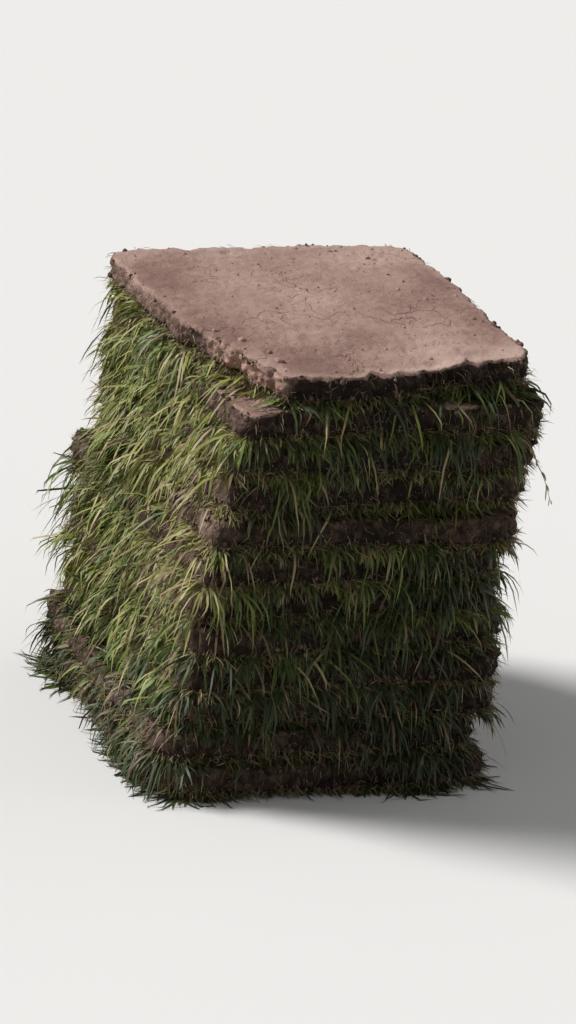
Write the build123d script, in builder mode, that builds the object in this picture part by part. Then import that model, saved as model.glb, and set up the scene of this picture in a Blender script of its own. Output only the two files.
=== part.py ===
"""A stack of cut turf: square slabs of lawn, laid by hand, each with its grass side down.

Every slab is one piece: a mat of rooted soil, cut round with a spade, that carries its grass
pressed flat beneath it. The grass draws back from the cut edge of the soil, so a groove runs
round the stack under each mat. A slab sags on the one below and takes its waves, and no two
slabs lie quite square to each other.

Units are millimetres. +Z is up and the front of the stack looks along -Y. The origin is on the
ground, under the middle of the stack.
"""

import os
from math import cos, radians, sin, sqrt

from build123d import *

# The stack
slab_count = 12
slab_width = 200.0  # across the front, on the top slab
slab_depth = 206.0  # front to back, on the top slab
foot_spread = 8.0  # the lowest slab is this much wider and deeper than the top one
foot_drift = 7.0  # the lowest slab lies this far to the left of the top one

# One slab, from its grass up
top_grass_thickness = 9.0  # pressed by nothing but its own soil
foot_grass_thickness = 5.5  # pressed by the whole stack
soil_thickness = 15.5  # the mat of soil and roots
seat_gap = 0.3  # between a slab and the one below

# The cut sides
corner_radius = 13.0
corner_variety = 6.0  # a corner may be rounded by this much more or less
torn_front = 36.0  # the top slab's front left corner is broken off, this far along its front
torn_left = 84.0  # and this far along its left side
front_step = 7.0  # the left half of the top slab's front edge stands out by this much more
front_slant = 8.0  # and its right end lies this much further back
cut_wander = 2.0  # how far a cut side strays from a straight line
cut_lean = 2.0  # how far the spade leans over the thickness of the soil
grass_setback = 4.5  # from the cut edge of the soil to the pressed grass

# The way the slabs lie
wave_height = 1.1  # of the waves that one slab presses into the next
open_relief = 1.6  # of the waves on the open soil face on top
wave_pace = 2.6  # radians of a wave, from the middle of the stack to its side
edge_sag = 2.4  # how far the edges of the top slab hang below its middle
side_shift = 2.6  # how far a slab lies off the middle
side_turn = 1.6  # degrees by which a slab lies askew

# Half of the widest slab, and how much taller a blank is than its slab until it is trimmed
half_span = (max(slab_width, slab_depth) + foot_spread) / 2
trim_room = 3 * (wave_height + open_relief + edge_sag)

# The slab's corners in turn, from the front left one, as seen from above
corner_sides = [(-1, -1), (1, -1), (1, 1), (-1, 1)]

# Each habit of the hand has a number of its own, and four where each corner or side differs
turn_habit, across_habit, along_habit, lean_across_habit, lean_along_habit = 1, 2, 3, 4, 5
corner_x_habit, corner_y_habit, rounding_habit = 6, 10, 14
bow_habits = [18, 22]


def hand(slab, habit):
    """A steady value from -1 to 1, which stands for how the hand did one thing on one slab."""
    return sin(2.3 * slab + 1.9 * habit * habit + 0.7 * slab * habit)


def foot_share(slab):
    """0 on the top slab and 1 on the lowest."""
    return 1 - slab / max(slab_count - 1, 1)


def grass_thickness(slab):
    """The thickness of a slab's grass, which the slabs above press flat."""
    return top_grass_thickness + (foot_grass_thickness - top_grass_thickness) * foot_share(slab)


def seat_height(slab):
    """The mean height at which a slab's grass rests on what is below it."""
    return sum(grass_thickness(lower) + soil_thickness + seat_gap for lower in range(slab))


def laid_plane(slab, height):
    """The level plane at a height, shifted and turned the way this slab was laid."""
    turn = radians(side_turn * hand(slab, turn_habit))
    across = side_shift * hand(slab, across_habit) - foot_drift * foot_share(slab)
    along = side_shift * hand(slab, along_habit)
    return Plane(origin=(across, along, height), x_dir=(cos(turn), sin(turn), 0), z_dir=(0, 0, 1))


def cut_direction(slab):
    """The way the spade went through this slab, nearly upright."""
    lean_across = cut_lean * hand(slab, lean_across_habit)
    lean_along = cut_lean * hand(slab, lean_along_habit)
    return Vector(lean_across, lean_along, soil_thickness).normalized()


def is_torn(slab, number):
    """Whether this corner is the broken one."""
    return slab == slab_count - 1 and corner_sides[number] == (-1, -1)


def corner_reach(slab, number, inset, torn_along, torn_beside):
    """How far from a corner its side begins, on an outline drawn in by inset from the soil's.

    A rounded corner takes the same from both of its sides. The break takes torn_along from this
    side and torn_beside from the other, and an outline that is drawn in runs beside it.
    """
    if is_torn(slab, number):
        widening = inset * sqrt(1 / torn_along**2 + 1 / torn_beside**2)
        return torn_along * (1 + widening - inset / torn_beside) - inset
    radius = corner_radius + corner_variety * hand(slab, rounding_habit + number)
    return max(radius - inset, 1)


def cut_outline(slab, inset):
    """The four spade cuts round a slab with their rounded corners, drawn in by inset."""
    half_width = (slab_width + foot_spread * foot_share(slab)) / 2 - inset
    half_depth = (slab_depth + foot_spread * foot_share(slab)) / 2 - inset
    corners = []
    for number, (side_x, side_y) in enumerate(corner_sides):
        stray_x = cut_wander * hand(slab, corner_x_habit + number)
        stray_y = cut_wander * hand(slab, corner_y_habit + number)
        if slab == slab_count - 1 and (side_x, side_y) == (1, -1):
            stray_y += front_slant
        corners.append(Vector(side_x * half_width + stray_x, side_y * half_depth + stray_y))

    for number, corner in enumerate(corners):
        following = (number + 1) % len(corners)
        beyond = (number + 2) % len(corners)
        ahead = (corners[following] - corner).normalized()
        outward = ahead.rotate(Axis.Z, -90)
        start = corner + ahead * corner_reach(slab, number, inset, torn_front, torn_left)
        end = corners[following] - ahead * corner_reach(slab, following, inset, torn_left, torn_front)
        points = [start]
        for step, habit in enumerate(bow_habits, 1):
            share = step / (len(bow_habits) + 1)
            bow = cut_wander * hand(slab, habit + number)
            if is_torn(slab, number):
                bow += front_step / 2 if share < 0.5 else -front_step / 2
            points.append(start + (end - start) * share + outward * bow)
        Spline(*points, end, tangents=[ahead, ahead])
        after = (corners[beyond] - corners[following]).normalized()
        next_start = corners[following] + after * corner_reach(slab, following, inset, torn_front, torn_left)
        if is_torn(slab, following):
            Line(end, next_start)
        else:
            TangentArc(end, next_start, tangent=ahead)


def face_height(level, x, y):
    """How far the face under slab number level rises or dips at a place."""
    across = x / half_span
    along = y / half_span
    height = open_relief if level == slab_count else wave_height
    rise = height * sin(wave_pace * across + 1.7 * level) * sin(wave_pace * along + 2.6 * level)
    sag = edge_sag * level / slab_count * (across**4 + along**4) / 2
    return rise - sag


def resting_face(level, height):
    """The flat ground, or the wavy face on which a slab lies, wider than any slab."""
    if level == 0:
        return Plane.XY.offset(height)
    reach = half_span + foot_drift + side_shift + 4 * cut_wander
    steps = 4
    places = [(2 * step / steps - 1) * reach for step in range(steps + 1)]
    rows = [[(x, y, height + face_height(level, x, y)) for y in places] for x in places]
    return Face.make_bezier_surface(rows)


def main():
    os.makedirs("parts", exist_ok=True)

    for slab in range(slab_count):
        grass_height = grass_thickness(slab)
        seat = seat_height(slab)
        collar = seat + grass_height
        crown = collar + soil_thickness
        laid = laid_plane(slab, seat - trim_room)
        cut = cut_direction(slab)

        # The soil, with a wavy underside
        with BuildPart() as mat:
            with BuildSketch(laid):
                with BuildLine():
                    cut_outline(slab, 0)
                make_face()
            extrude(amount=grass_height + soil_thickness + 2 * trim_room, dir=cut)
            split(bisect_by=resting_face(slab, collar), keep=Keep.TOP)

        # The grass, which reaches up into its soil
        with BuildPart() as grass:
            with BuildSketch(laid):
                with BuildLine():
                    cut_outline(slab, grass_setback)
                make_face()
            extrude(amount=trim_room + grass_height + soil_thickness / 2, dir=cut)

        # Grown together, and bent to the slabs below and above
        with BuildPart() as turf:
            add(mat.part)
            add(grass.part)
            split(bisect_by=resting_face(slab, seat), keep=Keep.TOP)
            split(bisect_by=resting_face(slab + 1, crown), keep=Keep.BOTTOM)

        name = f"turf_slab_{slab + 1:02d}"
        turf.part.label = name
        export_step(turf.part, f"parts/{name}.step")


main()
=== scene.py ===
# %% [markdown]
# # A stack of cut turf
#
# Lawn is lifted in square slabs and stacked by hand, each slab with its grass side down. In this
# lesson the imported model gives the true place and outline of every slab, and Blender gives it what
# can't be drawn with smooth solids: crumbling soil, squeezed grass, loose blades, straw, roots and
# runners. The frame comes first, and nothing in it is moved or resized.

# %% Load the frame
from itertools import product
from math import cos, pi, radians, sin

import bmesh
import bpy
import numpy as np
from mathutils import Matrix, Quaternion, Vector
from mathutils.bvhtree import BVHTree


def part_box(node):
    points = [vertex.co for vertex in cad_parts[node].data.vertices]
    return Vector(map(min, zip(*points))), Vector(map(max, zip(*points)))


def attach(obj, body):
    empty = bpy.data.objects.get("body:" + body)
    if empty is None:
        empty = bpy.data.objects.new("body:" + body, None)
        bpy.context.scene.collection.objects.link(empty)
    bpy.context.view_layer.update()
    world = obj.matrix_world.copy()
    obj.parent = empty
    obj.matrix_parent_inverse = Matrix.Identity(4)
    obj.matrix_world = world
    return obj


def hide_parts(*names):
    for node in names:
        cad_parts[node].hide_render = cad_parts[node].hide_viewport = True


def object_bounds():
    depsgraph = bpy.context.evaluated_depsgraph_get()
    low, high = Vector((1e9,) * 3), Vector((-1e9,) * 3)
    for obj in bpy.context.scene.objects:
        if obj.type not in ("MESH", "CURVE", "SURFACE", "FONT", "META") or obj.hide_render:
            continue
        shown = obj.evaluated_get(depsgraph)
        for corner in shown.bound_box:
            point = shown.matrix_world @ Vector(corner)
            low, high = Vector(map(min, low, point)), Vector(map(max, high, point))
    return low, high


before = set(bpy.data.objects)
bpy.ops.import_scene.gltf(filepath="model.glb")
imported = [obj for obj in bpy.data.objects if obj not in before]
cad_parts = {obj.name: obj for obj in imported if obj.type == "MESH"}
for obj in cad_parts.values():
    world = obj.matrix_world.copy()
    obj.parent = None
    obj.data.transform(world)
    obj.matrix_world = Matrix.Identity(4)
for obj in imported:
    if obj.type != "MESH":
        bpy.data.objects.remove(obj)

cad_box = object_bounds()
slab_names = sorted(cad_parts)
mm = 0.001
print("slabs", len(slab_names), "box", [[round(v, 4) for v in corner] for corner in cad_box])

# %% [markdown]
# ## One set of columns for every slab
#
# All the slabs are nearly square and lie on one another, so one upright axis through the middle
# of the stack serves them all. From it, columns run out to the sides, spread evenly along the
# walls of a square rather than by equal angles, so that the corners get as many as the sides.
# Column 0 stands at the front left corner, and the columns go round as the hands of a clock
# don't, seen from above.

# %% Columns round the stack
columns_per_side = 150
column_count = 4 * columns_per_side
axis_point = np.array([(cad_box[0][i] + cad_box[1][i]) / 2 for i in range(2)])


def square_point(share):
    """A point on the walls of the square from -1 to 1, at a share of the way round it."""
    share = np.mod(share, 1.0) * 4
    side = np.floor(share).astype(int) % 4
    along = (share - np.floor(share)) * 2 - 1
    one = np.ones_like(along)
    x = np.choose(side, [along, one, -along, -one])
    y = np.choose(side, [-one, along, one, -along])
    return np.stack([x, y], axis=-1)


def share_round(x, y):
    """The share of the way round the square at which a point lies, seen from the axis."""
    size = np.maximum(np.maximum(np.abs(x), np.abs(y)), 1e-9)
    x, y = x / size, y / size
    front = (x + 1) / 8
    right = 0.25 + (y + 1) / 8
    back = 0.5 + (1 - x) / 8
    left = 0.75 + (1 - y) / 8
    sideways = np.abs(x) > np.abs(y)
    return np.where(sideways, np.where(x > 0, right, left), np.where(y < 0, front, back))


column_shares = np.arange(column_count) / column_count
column_walls = square_point(column_shares)
column_ways = column_walls / np.linalg.norm(column_walls, axis=1, keepdims=True)
print("columns", column_count)

# %% [markdown]
# ## Measuring the slabs
#
# Each slab has a soil mat and, drawn back under it, a layer of pressed grass. Level rays shot
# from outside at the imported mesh, one for each column and half millimetre of height, give the
# profile of its side. The side jumps out where the grass ends and the soil begins, and the
# first and last height with a hit are the foot and the crown of the rim. Every dressed piece
# below is laid on these measured lines, so it stays on the true slab.

# %% Measure the rims
probe_step = 0.5 * mm
far_out = 300 * mm  # from the axis, outside every slab
thinnest_grass = 4  # steps of height in which no soil is looked for
lower_part = 0.6  # of a side's height, where the step from grass to soil is
shallow_hit = 0.85  # of a column's widest hit, under which a ray has missed the side


def side_profile(tree, heights):
    """How far from the axis the slab's side stands, for each height and column."""
    reach = np.zeros((len(heights), column_count))
    for row, z in enumerate(heights):
        for number, way in enumerate(column_ways):
            start = (axis_point[0] + way[0] * far_out, axis_point[1] + way[1] * far_out, z)
            hit = tree.ray_cast(Vector(start), Vector((-way[0], -way[1], 0)), far_out)[0]
            if hit is not None:
                reach[row, number] = np.hypot(hit.x - axis_point[0], hit.y - axis_point[1])
    return np.where(reach > shallow_hit * reach.max(axis=0), reach, 0)


def smoothed(values, width=5):
    """Even out a row of column values round the stack."""
    return sum(np.roll(values, shift) for shift in range(-(width // 2), width // 2 + 1)) / width


def measure_slab(name):
    """The measured lines of a slab, one value for each column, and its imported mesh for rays."""
    tree = BVHTree.FromObject(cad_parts[name], bpy.context.evaluated_depsgraph_get())
    low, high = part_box(name)
    heights = np.arange(low[2] + 0.2 * probe_step, high[2], probe_step)
    reach = side_profile(tree, heights)
    met = reach > 0
    first = np.argmax(met, axis=0)
    last = len(heights) - 1 - np.argmax(met[::-1], axis=0)
    rows = np.arange(len(heights))[:, None]
    searched = (rows >= first + thinnest_grass) & (rows < first + lower_part * (last - first))
    jump = np.where(searched[:-1], reach[1:] - reach[:-1], 0)
    step_row = np.argmax(jump, axis=0)
    columns = np.arange(column_count)
    grass_row = (first + step_row) // 2
    return {"name": name, "tree": tree, "high": high,
            "seat": smoothed(heights[first]), "crown": smoothed(heights[last]),
            "collar": smoothed((heights[step_row] + heights[step_row + 1]) / 2),
            "grass": reach[grass_row, columns],
            "soil_low": reach[np.minimum(step_row + 2, last), columns],
            "soil_high": reach[np.maximum(last - 2, step_row + 2), columns]}


slabs = [measure_slab(name) for name in slab_names]
for slab in (slabs[0], slabs[-1]):
    soil = (slab["crown"] - slab["collar"]).mean() / mm
    pressed = (slab["collar"] - slab["seat"]).mean() / mm
    setback = (slab["soil_low"] - slab["grass"]).mean() / mm
    print(slab["name"], f"soil {soil:.1f} mm, grass {pressed:.1f} mm, set back {setback:.1f} mm")

# %% [markdown]
# ## The front edge of the top slab
#
# Turf is limp. On the left half of the front, where the highest slab stands out a little, its
# edge has sunk on its grass, and its right corner has curled up a little as it dried. The
# packed slab keeps the outline, so only heights change here, most at the edge and not at all
# in the middle. The sharp ends of its broken corner are worn round.

# %% Bend the front edge
droop_depth = 5.0 * mm
droop_ends = 26 * mm
droop_fade = 22 * mm
curl_height = 3.0 * mm
curl_from = 55 * mm
curl_fade = 45 * mm
bend_from = 45 * mm
bend_full = 100 * mm
collar_share = 0.9  # the underside of the soil moves by this much of what the top does
worn_width = 9  # columns over which a broken end is worn round


def rim_plan(reach):
    """The level places of a rim, one for each column."""
    return axis_point + column_ways * reach[:, None]


def eased(values, low, high):
    """0 below low, 1 above high, and a smooth rise between them."""
    share = np.clip((values - low) / (high - low), 0, 1)
    return share * share * (3 - 2 * share)


def front_share(plan):
    """0 in the middle of the slab and 1 along its front edge."""
    return eased(axis_point[1] - plan[:, 1], bend_from, bend_full)


def front_bend(plan):
    """How far each place of the top slab has moved up or down."""
    sunk = 1 - eased(plan[:, 0], droop_ends, droop_ends + droop_fade)
    curled = eased(plan[:, 0], curl_from, curl_from + curl_fade)
    return front_share(plan) * (curl_height * curled - droop_depth * sunk)


top = slabs[-1]
for key in ("soil_low", "soil_high"):
    top[key] = smoothed(top[key], worn_width)
rim_bend = front_bend(rim_plan(top["soil_high"]))
top["crown"] = top["crown"] + rim_bend
top["collar"] = top["collar"] + rim_bend * collar_share
print(f"front edge moved by {rim_bend.min() / mm:.1f} to {rim_bend.max() / mm:.1f} mm")

# %% [markdown]
# ## Roughness made of numbers
#
# Soil is rough at every size: lumps as wide as a thumb, crumbs like peas, grains like sand.
# Blender's Displace modifier could do this, but its textures don't know where one slab ends and
# its neighbour begins. Two small noises written with NumPy are as quick, and each vertex can be
# told how much of which one it gets. The first is smooth, and the second is made of round cells.

# %% Two noises
def scattered(cells, seed):
    """A steady random value from -1 to 1 for each cell of a lattice."""
    code = cells[..., 0] * 73856093 ^ cells[..., 1] * 19349663 ^ cells[..., 2] * 83492791
    code = (code + seed * 2654435761) & 0xFFFFFFFF
    code = ((code ^ (code >> 15)) * 2246822519) & 0xFFFFFFFF
    code = ((code ^ (code >> 13)) * 3266489917) & 0xFFFFFFFF
    code = code ^ (code >> 16)
    return (code & 0xFFFF) / 32767.5 - 1


def lattice_cells(points, size):
    """The cell of a lattice in which each point lies, and its place in units of the lattice."""
    scaled = points / size
    return np.floor(scaled).astype(np.int64), scaled


def soft_noise(points, size, seed):
    """Smooth hills and dips of one size, from -1 to 1."""
    cells, scaled = lattice_cells(points, size)
    part = scaled - cells
    part = part * part * (3 - 2 * part)
    total = np.zeros(len(points))
    for corner in product((0, 1), repeat=3):
        share = np.prod(np.where(corner, part, 1 - part), axis=1)
        total += share * scattered(cells + np.array(corner), seed)
    return total


def crumb_noise(points, size, seed):
    """Round crumbs of one size: 1 at the middle of a crumb, towards 0 in the creases."""
    cells, scaled = lattice_cells(points, size)
    nearest = np.full(len(points), np.inf)
    for corner in product((-1, 0, 1), repeat=3):
        other = cells + np.array(corner)
        place = [scattered(other, seed + shift) * 0.4 + 0.5 for shift in range(3)]
        gap = np.linalg.norm(other + np.stack(place, axis=-1) - scaled, axis=1)
        nearest = np.minimum(nearest, gap)
    return np.clip(1 - nearest, 0, 1)


# %% [markdown]
# ## Turning arrays into pieces
#
# A mesh is a list of points and a list of faces. Rings of points that are laid from the underside
# round the rim to the top make one closed skin when each ring is joined to the next. Every piece
# rides on the body of the stack. It takes its colour from a material, and a few named values that
# are stored with the points tell that material how deep, how dry or how fresh each one is.

# %% Mesh helpers
def new_piece(name, points, face_blocks, values, material):
    """Make a mesh from arrays of faces, ride it on the stack and give it its finish."""
    mesh = bpy.data.meshes.new(name)
    points = np.array(points, dtype=np.float32)
    points[:, 2] = np.maximum(points[:, 2], 0)
    mesh.vertices.add(len(points))
    mesh.vertices.foreach_set("co", points.ravel())
    sides = np.concatenate([np.full(len(block), block.shape[1]) for block in face_blocks])
    corners = np.concatenate([block.ravel() for block in face_blocks]).astype(np.int32)
    mesh.loops.add(len(corners))
    mesh.polygons.add(len(sides))
    starts = np.concatenate([[0], np.cumsum(sides)[:-1]]).astype(np.int32)
    mesh.polygons.foreach_set("loop_start", starts)
    mesh.loops.foreach_set("vertex_index", corners)
    mesh.update(calc_edges=True)
    for key, value in values.items():
        layer = mesh.attributes.new(key, "FLOAT", "POINT")
        layer.data.foreach_set("value", np.asarray(value, dtype=np.float32))
    mesh.shade_smooth()
    if mesh.validate():
        print("mended faces in", name)
    piece = bpy.data.objects.new(name, mesh)
    bpy.context.scene.collection.objects.link(piece)
    mesh.materials.append(material)
    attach(piece, "root")
    return piece


def ring_faces(ring_total, count):
    """Quads that join each of the rings of points, which follow one another, to the next."""
    here = np.arange(count)
    there = np.roll(here, -1)
    blocks = []
    for first in np.arange(ring_total - 1) * count:
        second = first + count
        blocks.append(np.stack([first + here, first + there, second + there, second + here], axis=1))
    return blocks


def fan_faces(ring, middle, count, upwards):
    """Triangles from a ring of points to a middle one."""
    here = np.arange(count)
    there = np.roll(here, -1)
    near, far = (here, there) if upwards else (there, here)
    return np.stack([ring + near, ring + far, np.full(count, middle)], axis=1)


def outline(reach, height):
    """The points of a rim, one for each column."""
    return np.column_stack([rim_plan(reach), height])


def outward_ways(rim):
    """The level direction straight out of a rim at each of its points."""
    along = np.roll(rim, -2, axis=0) - np.roll(rim, 2, axis=0)
    out = np.stack([along[:, 1], -along[:, 0]], axis=1)
    return out / np.linalg.norm(out, axis=1, keepdims=True)


# %% [markdown]
# ## Shader helpers
#
# Materials are built from nodes in code. These few helpers place a node, set its inputs and
# link it, so that each material below reads as a short recipe: a tone that is a sum of masks, a
# ramp that turns the tone into a colour, a roughness, and a bump for what is too fine to model.

# %% Node helpers
def add_node(tree, kind, settings=None, **inputs):
    """Place a node. Inputs are numbers, colours or sockets, with _ for a space in their name."""
    node = tree.nodes.new(kind)
    for key, value in (settings or {}).items():
        setattr(node, key, value)
    for key, value in inputs.items():
        wanted = key.replace("_", " ")
        socket = next(entry for entry in node.inputs if entry.name == wanted and entry.enabled)
        if isinstance(value, bpy.types.NodeSocket):
            tree.links.new(value, socket)
        else:
            socket.default_value = value
    return node


def colour_ramp(tree, factor, stops):
    """Colours along a value, as (place, colour) pairs."""
    node = tree.nodes.new("ShaderNodeValToRGB")
    ramp = node.color_ramp
    while len(ramp.elements) < len(stops):
        ramp.elements.new(0.5)
    for element, (place, colour) in zip(ramp.elements, stops):
        element.position = place
        element.color = (*colour, 1)
    tree.links.new(factor, node.inputs["Fac"])
    return node.outputs["Color"]


def mixed(tree, factor, first, second, blend="MIX"):
    """Two colours mixed by a factor."""
    node = tree.nodes.new("ShaderNodeMix")
    node.data_type = "RGBA"
    node.blend_type = blend
    for place, value in ((0, factor), (6, first), (7, second)):
        if isinstance(value, bpy.types.NodeSocket):
            tree.links.new(value, node.inputs[place])
        elif place == 0:
            node.inputs[place].default_value = value
        else:
            node.inputs[place].default_value = (*value, 1)
    return node.outputs[2]


def tinted(tree, colour, tint, mask, weight):
    """A colour with another laid over it, by a mask times its weight."""
    return mixed(tree, reckoned(tree, "MULTIPLY", mask, weight), colour, tint)


def reckoned(tree, operation, first, second=0.5, third=0.5):
    """One step of arithmetic on values."""
    node = tree.nodes.new("ShaderNodeMath")
    node.operation = operation
    for place, value in enumerate((first, second, third)):
        if isinstance(value, bpy.types.NodeSocket):
            tree.links.new(value, node.inputs[place])
        else:
            node.inputs[place].default_value = value
    return node.outputs[0]


def weighed(tree, base, *parts):
    """A base value and a sum of masks, each times its weight."""
    for mask, weight in parts:
        base = reckoned(tree, "MULTIPLY_ADD", mask, weight, base)
    return base


def risen(tree, value, low, high):
    """0 where a value is at low, 1 where it is at high, and a straight rise between them."""
    rise = add_node(tree, "ShaderNodeMapRange", Value=value, From_Min=low, From_Max=high)
    return rise.outputs["Result"]


def stored(tree, key):
    """A value that was stored with the points of a mesh."""
    return add_node(tree, "ShaderNodeAttribute", {"attribute_name": key}).outputs["Fac"]


def real_place(tree):
    """The place of a point in metres, so that a pattern keeps its real size."""
    return add_node(tree, "ShaderNodeTexCoord").outputs["Object"]


def strayed(tree, place, scale, detail, amount):
    """A place moved a little by noise, so that the cells of a pattern get uneven edges."""
    wobble = add_node(tree, "ShaderNodeTexNoise", Vector=place, Scale=scale, Detail=detail)
    shifted = add_node(tree, "ShaderNodeVectorMath", {"operation": "MULTIPLY_ADD"})
    tree.links.new(wobble.outputs["Color"], shifted.inputs[0])
    shifted.inputs[1].default_value = (amount, amount, amount)
    tree.links.new(place, shifted.inputs[2])
    return shifted.outputs[0]


def new_material(name, roughness, specular):
    """A material with its node tree and its Principled shader."""
    material = bpy.data.materials.new(name)
    material.use_nodes = True
    shader = material.node_tree.nodes["Principled BSDF"]
    shader.inputs["Roughness"].default_value = roughness
    shader.inputs["Specular IOR Level"].default_value = specular
    return material, material.node_tree, shader


def set_finish(tree, shader, colour, roughness, relief, strength, depth):
    """Give a shader its colour, its roughness and a bump that is this deep."""
    bump = add_node(tree, "ShaderNodeBump", Height=relief, Strength=strength, Distance=depth)
    tree.links.new(colour, shader.inputs["Base Color"])
    tree.links.new(roughness, shader.inputs["Roughness"])
    tree.links.new(bump.outputs["Normal"], shader.inputs["Normal"])


# %% Node group helpers
def new_group(name, settings):
    """A node group with an input for each setting, and its usual value. Gives its inputs too."""
    group = bpy.data.node_groups.new(name, "ShaderNodeTree")
    for title, usual in settings.items():
        kind = "NodeSocketVector" if isinstance(usual, tuple) else "NodeSocketFloat"
        socket = group.interface.new_socket(title, in_out="INPUT", socket_type=kind)
        socket.default_value = usual
    return group, group.nodes.new("NodeGroupInput").outputs


def put_out(group, results):
    """Give a node group its outputs: masks and heights, each under its title."""
    for title in results:
        group.interface.new_socket(title, in_out="OUTPUT", socket_type="NodeSocketFloat")
    way_out = group.nodes.new("NodeGroupOutput")
    for title, socket in results.items():
        group.links.new(socket, way_out.inputs[title])


def place_group(tree, group, **inputs):
    """Place a node group and set its inputs. Gives its outputs."""
    node = tree.nodes.new("ShaderNodeGroup")
    node.node_tree = group
    for key, value in inputs.items():
        node.inputs[key.replace("_", " ")].default_value = value
    return node.outputs


# %% [markdown]
# ## The look of earth
#
# Moist, rooty soil shows on the cut sides, on the open face and in loose crumbs, so its pattern
# is one node group, used by more than one material. Cells of two sizes make crumbs, a fine
# noise makes grain, a broad one makes stains, and a few of the smallest cells become pits and
# pale flecks of sand. The group puts out masks and a height, and its crease mask is used for
# painted shade in the creases between crumbs. Each material gives them its own colours,
# because the sun has dried the open face far more than the sides.

# %% The earth group
crumb_stray = 8 * mm
fine_ratio = 3.3  # so many times smaller are the fine cells than the crumbs
pit_edge, pit_middle = 0.38, 0.22  # of the way out from the middle of a fine cell
cells_without_pit = 0.86
cells_without_fleck = 0.93


def make_earth_group():
    group, settings = new_group("Crumbled earth", {"Crumb Scale": 150.0})
    scale = settings["Crumb Scale"]
    place = real_place(group)
    shifted = strayed(group, place, 140.0, 3.0, crumb_stray)
    crumbs = add_node(group, "ShaderNodeTexVoronoi", {"feature": "SMOOTH_F1"}, Vector=shifted,
                      Scale=scale, Randomness=1.0, Smoothness=0.35)
    fine_scale = reckoned(group, "MULTIPLY", scale, fine_ratio)
    grains = add_node(group, "ShaderNodeTexVoronoi", {"feature": "F1"}, Vector=shifted,
                      Scale=fine_scale, Randomness=1.0)
    stain = add_node(group, "ShaderNodeTexNoise", Vector=place, Scale=24.0, Detail=6.0,
                     Roughness=0.62)
    grain = add_node(group, "ShaderNodeTexNoise", Vector=place, Scale=1100.0, Detail=4.0,
                     Roughness=0.7)

    near = risen(group, grains.outputs["Distance"], pit_edge, pit_middle)
    chosen = add_node(group, "ShaderNodeSeparateColor", Color=grains.outputs["Color"])
    rare = reckoned(group, "GREATER_THAN", chosen.outputs["Red"], cells_without_pit)
    rarer = reckoned(group, "GREATER_THAN", chosen.outputs["Green"], cells_without_fleck)
    pits = reckoned(group, "MULTIPLY", near, rare)
    flecks = reckoned(group, "MULTIPLY", near, rarer)
    rounded = reckoned(group, "SUBTRACT", 1.0, crumbs.outputs["Distance"])
    height = weighed(group, rounded, (grains.outputs["Distance"], -0.4), (grain.outputs["Fac"], 0.35),
                     (pits, -0.8), (flecks, 0.5))
    shade = add_node(group, "ShaderNodeSeparateColor", Color=crumbs.outputs["Color"])
    # The crease mask is for painted shade in the creases between crumbs.
    crease_shade = reckoned(group, "POWER", crumbs.outputs["Distance"], 1.5)
    put_out(group, {"Crumb Height": height, "Crumb Tone": shade.outputs["Red"],
                    "Stain": stain.outputs["Fac"], "Grain": grain.outputs["Fac"],
                    "Crease Shade": crease_shade, "Pits": pits, "Flecks": flecks})
    return group


earth_group = make_earth_group()
print("earth group with", len(earth_group.nodes), "nodes")

# %% [markdown]
# ## Soil of the mats
#
# Where a mat is cut, the soil is moist, dark and full of roots near its grass, and a little
# redder and barer away from it. The open face on top has dried in the sun to a dull mauve
# brown, with damp patches. One material does both: a stored value called dryness is 1 on
# the open face and falls over its rim, and one called depth runs from the grass to the open side.
# A third lightens the sides that face left, partly as soil that the sun has dried at the cuts and
# partly as painted sunlight, and a fourth, called damp, darkens patches of both. As soil dries it
# shrinks, so hairline
# cracks run over the open face in places.

# %% The colours of soil
moist_dark_and_crease_shade = (0.017, 0.011, 0.008)
moist_brown = (0.062, 0.038, 0.027)
root_brown = (0.175, 0.112, 0.074)
dry_damp = (0.245, 0.148, 0.120)
dry_mauve = (0.350, 0.223, 0.182)
dry_pale = (0.460, 0.322, 0.270)
pit_shade = (0.14, 0.085, 0.068)
# Colours of the sides that face left: sun-dried soil with painted sunlight.
dried_and_sunlit_dark = (0.330, 0.200, 0.158)
dried_and_sunlit_brown = (0.570, 0.360, 0.290)
dried_and_sunlit_pale = (0.660, 0.465, 0.390)
sand_pale = (0.46, 0.37, 0.30)


def soil_ramp(tree, tone, middle, dark, brown, pale, last=0.9):
    """The three colours of a soil along its tone, with the brown at a place in the middle."""
    return colour_ramp(tree, tone, [(0.2, dark), (middle, brown), (last, pale)])


# %% The cracks of drying soil
crack_stray = 22 * mm
crack_edge, crack_middle = 0.024, 0.004  # of a cell's size, from the line between two cells
patch_from, patch_full = 0.53, 0.66


def make_cracks(tree):
    """A mask of hairline cracks, only in some patches, such as drying soil gets."""
    place = real_place(tree)
    shifted = strayed(tree, place, 70.0, 4.0, crack_stray)
    cells = add_node(tree, "ShaderNodeTexVoronoi", {"feature": "DISTANCE_TO_EDGE"}, Vector=shifted,
                     Scale=42.0, Randomness=1.0)
    line = risen(tree, cells.outputs["Distance"], crack_edge, crack_middle)
    patches = add_node(tree, "ShaderNodeTexNoise", Vector=place, Scale=21.0, Detail=2.0)
    where = risen(tree, patches.outputs["Fac"], patch_from, patch_full)
    return reckoned(tree, "MULTIPLY", line, where)


# %% The soil material
soil_bump = 2.2 * mm


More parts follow.
